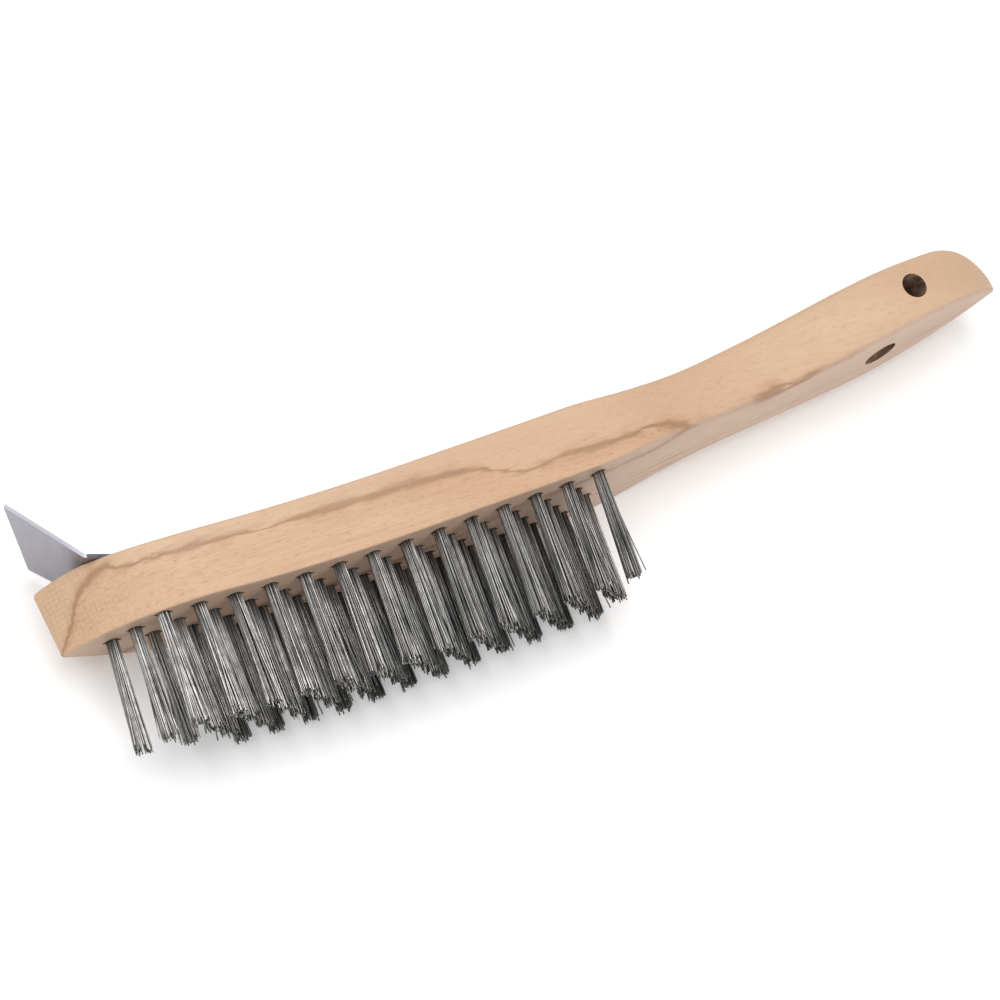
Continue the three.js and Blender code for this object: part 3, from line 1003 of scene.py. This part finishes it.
def build_sheet(settings):
    """The sheet's builder: the cage's rows and then the flared blade with its oblique edge."""
    rows, start, turn = scraper_cage(settings)
    place = seat_matrix()
    steps = ACROSS_STEPS

    def build(bm):
        rings = []
        for along, up, half in rows:
            spots = [Vector((along, up, half * (1 - 2 * i / steps))) for i in range(steps + 1)]
            rings.append(add_ring(bm, [to_row(place @ s) for s in spots]))
        last = rows[-1]
        direction = Vector((-math.cos(turn), math.sin(turn), 0))
        for share in BLADE_SHARES:
            spots = []
            for i in range(steps + 1):
                t = i / steps
                reach = (BLADE_NEAR * (1 - t) + BLADE_FAR * t - start) * share
                near = BEND_HALF + BLADE_FLARE * BLADE_NEAR * share
                far = -(BEND_HALF + BLADE_FLARE * BLADE_FAR * share)
                z = near * (1 - t) + far * t
                spots.append(Vector((last[0], last[1], z)) + direction * reach)
            rings.append(add_ring(bm, [to_row(place @ s) for s in spots]))
        for ring, next_ring in zip(rings, rings[1:]):
            for i in range(steps):
                bm.faces.new((ring[i], ring[i + 1], next_ring[i + 1], next_ring[i]))

    return build


def nail_profile(settings):
    """Half of a nail as (radius, height) from its head's crown down to its point."""
    head = settings.head_diameter / 2 / MM
    top = settings.thickness / MM + SHEET_LIFT + NAIL_HEAD_GAP
    crown = top + NAIL_HEAD_HEIGHT
    shank = NAIL_SHANK
    return (
        (0.0, crown), (head * 0.35, crown - 0.05), (head * 0.72, crown - 0.24),
        (head * 0.93, crown - 0.5), (head, crown - 0.75), (head * 0.97, top + 0.08),
        (head * 0.9, top), (shank * 1.25, top), (shank, top - 0.35),
        (shank, NAIL_TAPER), (0.0, -NAIL_DEPTH + NAIL_POINT_CLEARANCE),
    )


class WIREBRUSH_OT_scraper(bpy.types.Operator):
    """Make the bent steel scraper"""
    bl_idname = "wire_brush.scraper"
    bl_label = "Scraper"

    def execute(self, context):
        settings = context.scene.wire_brush_scraper
        sheet = linked("scraper_sheet", mesh_from("scraper_sheet", build_sheet(settings)))
        wall = sheet.modifiers.new("wall", "SOLIDIFY")
        wall.thickness = settings.thickness
        wall.offset = 0
        wall.use_even_offset = True
        applied(sheet)

        def build(bm):
            for offset in NAIL_OFFSETS.values():
                place = seat_matrix() @ Matrix.Translation(Vector((offset, 0, 0)))
                punch_round = circle(PUNCH_RADIUS, PUNCHED_HOLE_FLATS)
                prism(bm, punch_round, place, -PUNCH_REACH, NAIL_DRILL_MOUTH)

        punches = linked("punches", mesh_from("punches", build))
        punch = sheet.modifiers.new("punch", "BOOLEAN")
        punch.operation = "DIFFERENCE"
        punch.solver = "EXACT"
        punch.object = punches
        applied(sheet)
        dropped(punches)
        edge = sheet.modifiers.new("edge", "BEVEL")
        edge.width = SHEET_EDGE * MM
        edge.segments = 2
        edge.limit_method = "ANGLE"
        edge.angle_limit = math.radians(BEVELLED_SHEET)
        sheet.data.materials.clear()
        sheet.data.materials.append(
            satin_steel("sheet_steel", settings.sheet_colour, 0.36, (1, 0.15, 0.1)))
        shaded(sheet.data, SHARP_SHEET)
        finished(sheet, "scraper_plate")
        return {"FINISHED"}


class WIREBRUSH_OT_nails(bpy.types.Operator):
    """Make the two nails that hold the scraper"""
    bl_idname = "wire_brush.nails"
    bl_label = "Scraper Nails"

    def execute(self, context):
        settings = context.scene.wire_brush_scraper
        material = satin_steel("nail_steel", settings.nail_colour, 0.34, (1, 1, 1))
        profile = nail_profile(settings)
        for name, offset in NAIL_OFFSETS.items():
            mesh = bpy.data.meshes.new(name + "_turned")
            points = [Vector((radius, 0, height)) * MM for radius, height in profile]
            mesh.from_pydata(points, [(i, i + 1) for i in range(len(points) - 1)], [])
            nail = linked(name + "_turned", mesh)
            turn = nail.modifiers.new("turn", "SCREW")
            turn.steps = turn.render_steps = NAIL_TURN_STEPS
            turn.use_merge_vertices = True
            turn.merge_threshold = NAIL_MERGE_DISTANCE
            applied(nail)
            up = Matrix.Rotation(math.radians(-90), 4, "X")
            place = seat_matrix() @ Matrix.Translation(Vector((offset, 0, 0)))
            move = Matrix.Scale(MM, 4) @ place @ Matrix.Scale(1 / MM, 4) @ up
            nail.data.transform(Matrix.Translation(ORIGIN) @ move)
            nail.data.materials.append(material)
            shaded(nail.data, SHARP_NAIL)
            finished(nail, name)
        return {"FINISHED"}


# ---------------------------------------------------------------- floor, light and camera
class StageSettings(bpy.types.PropertyGroup):
    floor_tone: bpy.props.FloatVectorProperty(
        name="Floor", description="Colour of the plain floor",
        subtype="COLOR", default=(0.95, 0.95, 0.95), min=0, max=1)
    sky: bpy.props.FloatProperty(
        name="Surrounding light", description="Strength of the even light all round",
        default=0.39, min=0.0)
    key_power: bpy.props.FloatProperty(
        name="Key light", description="Power of the soft light overhead",
        default=21.5, min=0.0, unit="POWER")
    fill_power: bpy.props.FloatProperty(
        name="Fill light", description="Power of the wide light from the bristles' side",
        default=10.0, min=0.0, unit="POWER")
    camera_azimuth: bpy.props.FloatProperty(
        name="Camera azimuth", description="Camera's turn round the brush",
        default=math.radians(-49.73), subtype="ANGLE")
    camera_elevation: bpy.props.FloatProperty(
        name="Camera elevation", description="Camera's height angle",
        default=math.radians(64.72), subtype="ANGLE")
    camera_roll: bpy.props.FloatProperty(
        name="Camera roll", description="Camera's turn about its own axis",
        default=math.radians(28.73), subtype="ANGLE")
    camera_distance: bpy.props.FloatProperty(
        name="Camera distance", description="Distance from the camera to its aim",
        default=0.8036, min=0.1, unit="LENGTH")


CAMERA_AIM = (99.64, 6.97, 0)
LENS = 108
FLOOR_SIZE = 12
FLOOR_GAP = 0.0002
FLOOR_GLOW = 0.12
FLOOR_DIM = 0.985
LIGHT_SIZE = 1.6
KEY_PLACE = (-0.25, 0.35, 1.5)
FILL_PLACE = (0.35, -1.3, 0.9)


def make_camera(settings):
    """The camera, placed round its aim by its azimuth, elevation, roll and distance."""
    camera = bpy.data.objects.new("camera", bpy.data.cameras.new("camera"))
    camera.data.lens = LENS
    turn = Matrix.Rotation(settings.camera_azimuth, 4, "Z")
    tilt = Matrix.Rotation(math.radians(90) - settings.camera_elevation, 4, "X")
    roll = Matrix.Rotation(settings.camera_roll, 4, "Z")
    back_off = Matrix.Translation(Vector((0, 0, settings.camera_distance)))
    aim = Matrix.Translation(to_row(CAMERA_AIM))
    camera.matrix_world = aim @ turn @ tilt @ back_off @ roll
    bpy.context.scene.collection.objects.link(camera)
    bpy.context.scene.camera = camera


def make_light(name, power, place):
    """A wide soft disk of light that looks at the row's origin."""
    lamp = bpy.data.lights.new(name, "AREA")
    lamp.energy = power
    lamp.shape = "DISK"
    lamp.size = LIGHT_SIZE
    light = bpy.data.objects.new(name, lamp)
    light.location = place
    light.rotation_euler = (-Vector(place)).to_track_quat("-Z", "Y").to_euler()
    bpy.context.scene.collection.objects.link(light)


def make_floor(settings):
    """A plain pale floor just under the brush."""
    half = FLOOR_SIZE / 2

    def build(bm):
        corners = ((-half, -half), (half, -half), (half, half), (-half, half))
        bm.faces.new(add_ring(bm, [Vector((x, y, -FLOOR_GAP)) for x, y in corners]))

    floor = linked("floor", mesh_from("floor", build))
    material, tree, shader, place = new_material("floor_paint")
    speck = noise(tree, place, 30, detail=3)
    dim = tuple(c * FLOOR_DIM for c in settings.floor_tone[:3])
    tone = mixed(tree, ramp(tree, speck, 0.3, 0.7), settings.floor_tone, dim)
    tree.links.new(tone, shader.inputs["Base Color"])
    shader.inputs["Roughness"].default_value = 0.95
    shader.inputs["Specular IOR Level"].default_value = 0.1
    shader.inputs["Emission Color"].default_value = (1, 1, 1, 1)
    shader.inputs["Emission Strength"].default_value = FLOOR_GLOW
    floor.data.materials.append(material)


class WIREBRUSH_OT_stage(bpy.types.Operator):
    """Make the floor, the soft light and the camera"""
    bl_idname = "wire_brush.stage"
    bl_label = "Stage"

    def execute(self, context):
        settings = context.scene.wire_brush_stage
        make_camera(settings)
        make_floor(settings)
        world = bpy.data.worlds.new("studio")
        world.use_nodes = True
        world.node_tree.nodes["Background"].inputs["Color"].default_value = (1, 1, 1, 1)
        world.node_tree.nodes["Background"].inputs["Strength"].default_value = settings.sky
        context.scene.world = world
        make_light("key", settings.key_power, KEY_PLACE)
        make_light("fill", settings.fill_power, FILL_PLACE)
        context.scene.view_settings.view_transform = "Standard"
        context.scene.view_settings.look = "None"
        return {"FINISHED"}


# ---------------------------------------------------------------- panel and registration
class WIREBRUSH_PT_panel(bpy.types.Panel):
    """Lists the brush's pieces and the stage"""
    bl_idname = "WIREBRUSH_PT_panel"
    bl_label = "Wire Brush"
    bl_space_type = "VIEW_3D"
    bl_region_type = "UI"
    bl_category = "Wire Brush"

    def draw(self, context):
        for maker, settings in MAKERS:
            box = self.layout.box()
            box.operator(maker.bl_idname)
            if settings:
                group = getattr(context.scene, settings)
                for name in group.__annotations__:
                    box.prop(group, name)


GROUPS = {
    "wire_brush_block": BlockSettings,
    "wire_brush_tufts": TuftSettings,
    "wire_brush_scraper": ScraperSettings,
    "wire_brush_stage": StageSettings,
}
MAKERS = (
    (WIREBRUSH_OT_stage, "wire_brush_stage"),
    (WIREBRUSH_OT_block, "wire_brush_block"),
    (WIREBRUSH_OT_tufts, "wire_brush_tufts"),
    (WIREBRUSH_OT_scraper, "wire_brush_scraper"),
    (WIREBRUSH_OT_nails, None),
)


def register():
    for name, group in GROUPS.items():
        bpy.utils.register_class(group)
        setattr(bpy.types.Scene, name, bpy.props.PointerProperty(type=group))
    for maker, _ in MAKERS:
        bpy.utils.register_class(maker)
    bpy.utils.register_class(WIREBRUSH_PT_panel)


def unregister():
    bpy.utils.unregister_class(WIREBRUSH_PT_panel)
    for maker, _ in reversed(MAKERS):
        bpy.utils.unregister_class(maker)
    for name, group in GROUPS.items():
        delattr(bpy.types.Scene, name)
        bpy.utils.unregister_class(group)


def main():
    register()
    bpy.ops.wire_brush.stage()
    bpy.ops.wire_brush.block()
    bpy.ops.wire_brush.tufts()
    bpy.ops.wire_brush.scraper()
    bpy.ops.wire_brush.nails()
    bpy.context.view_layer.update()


if __name__ == "__main__":
    main()
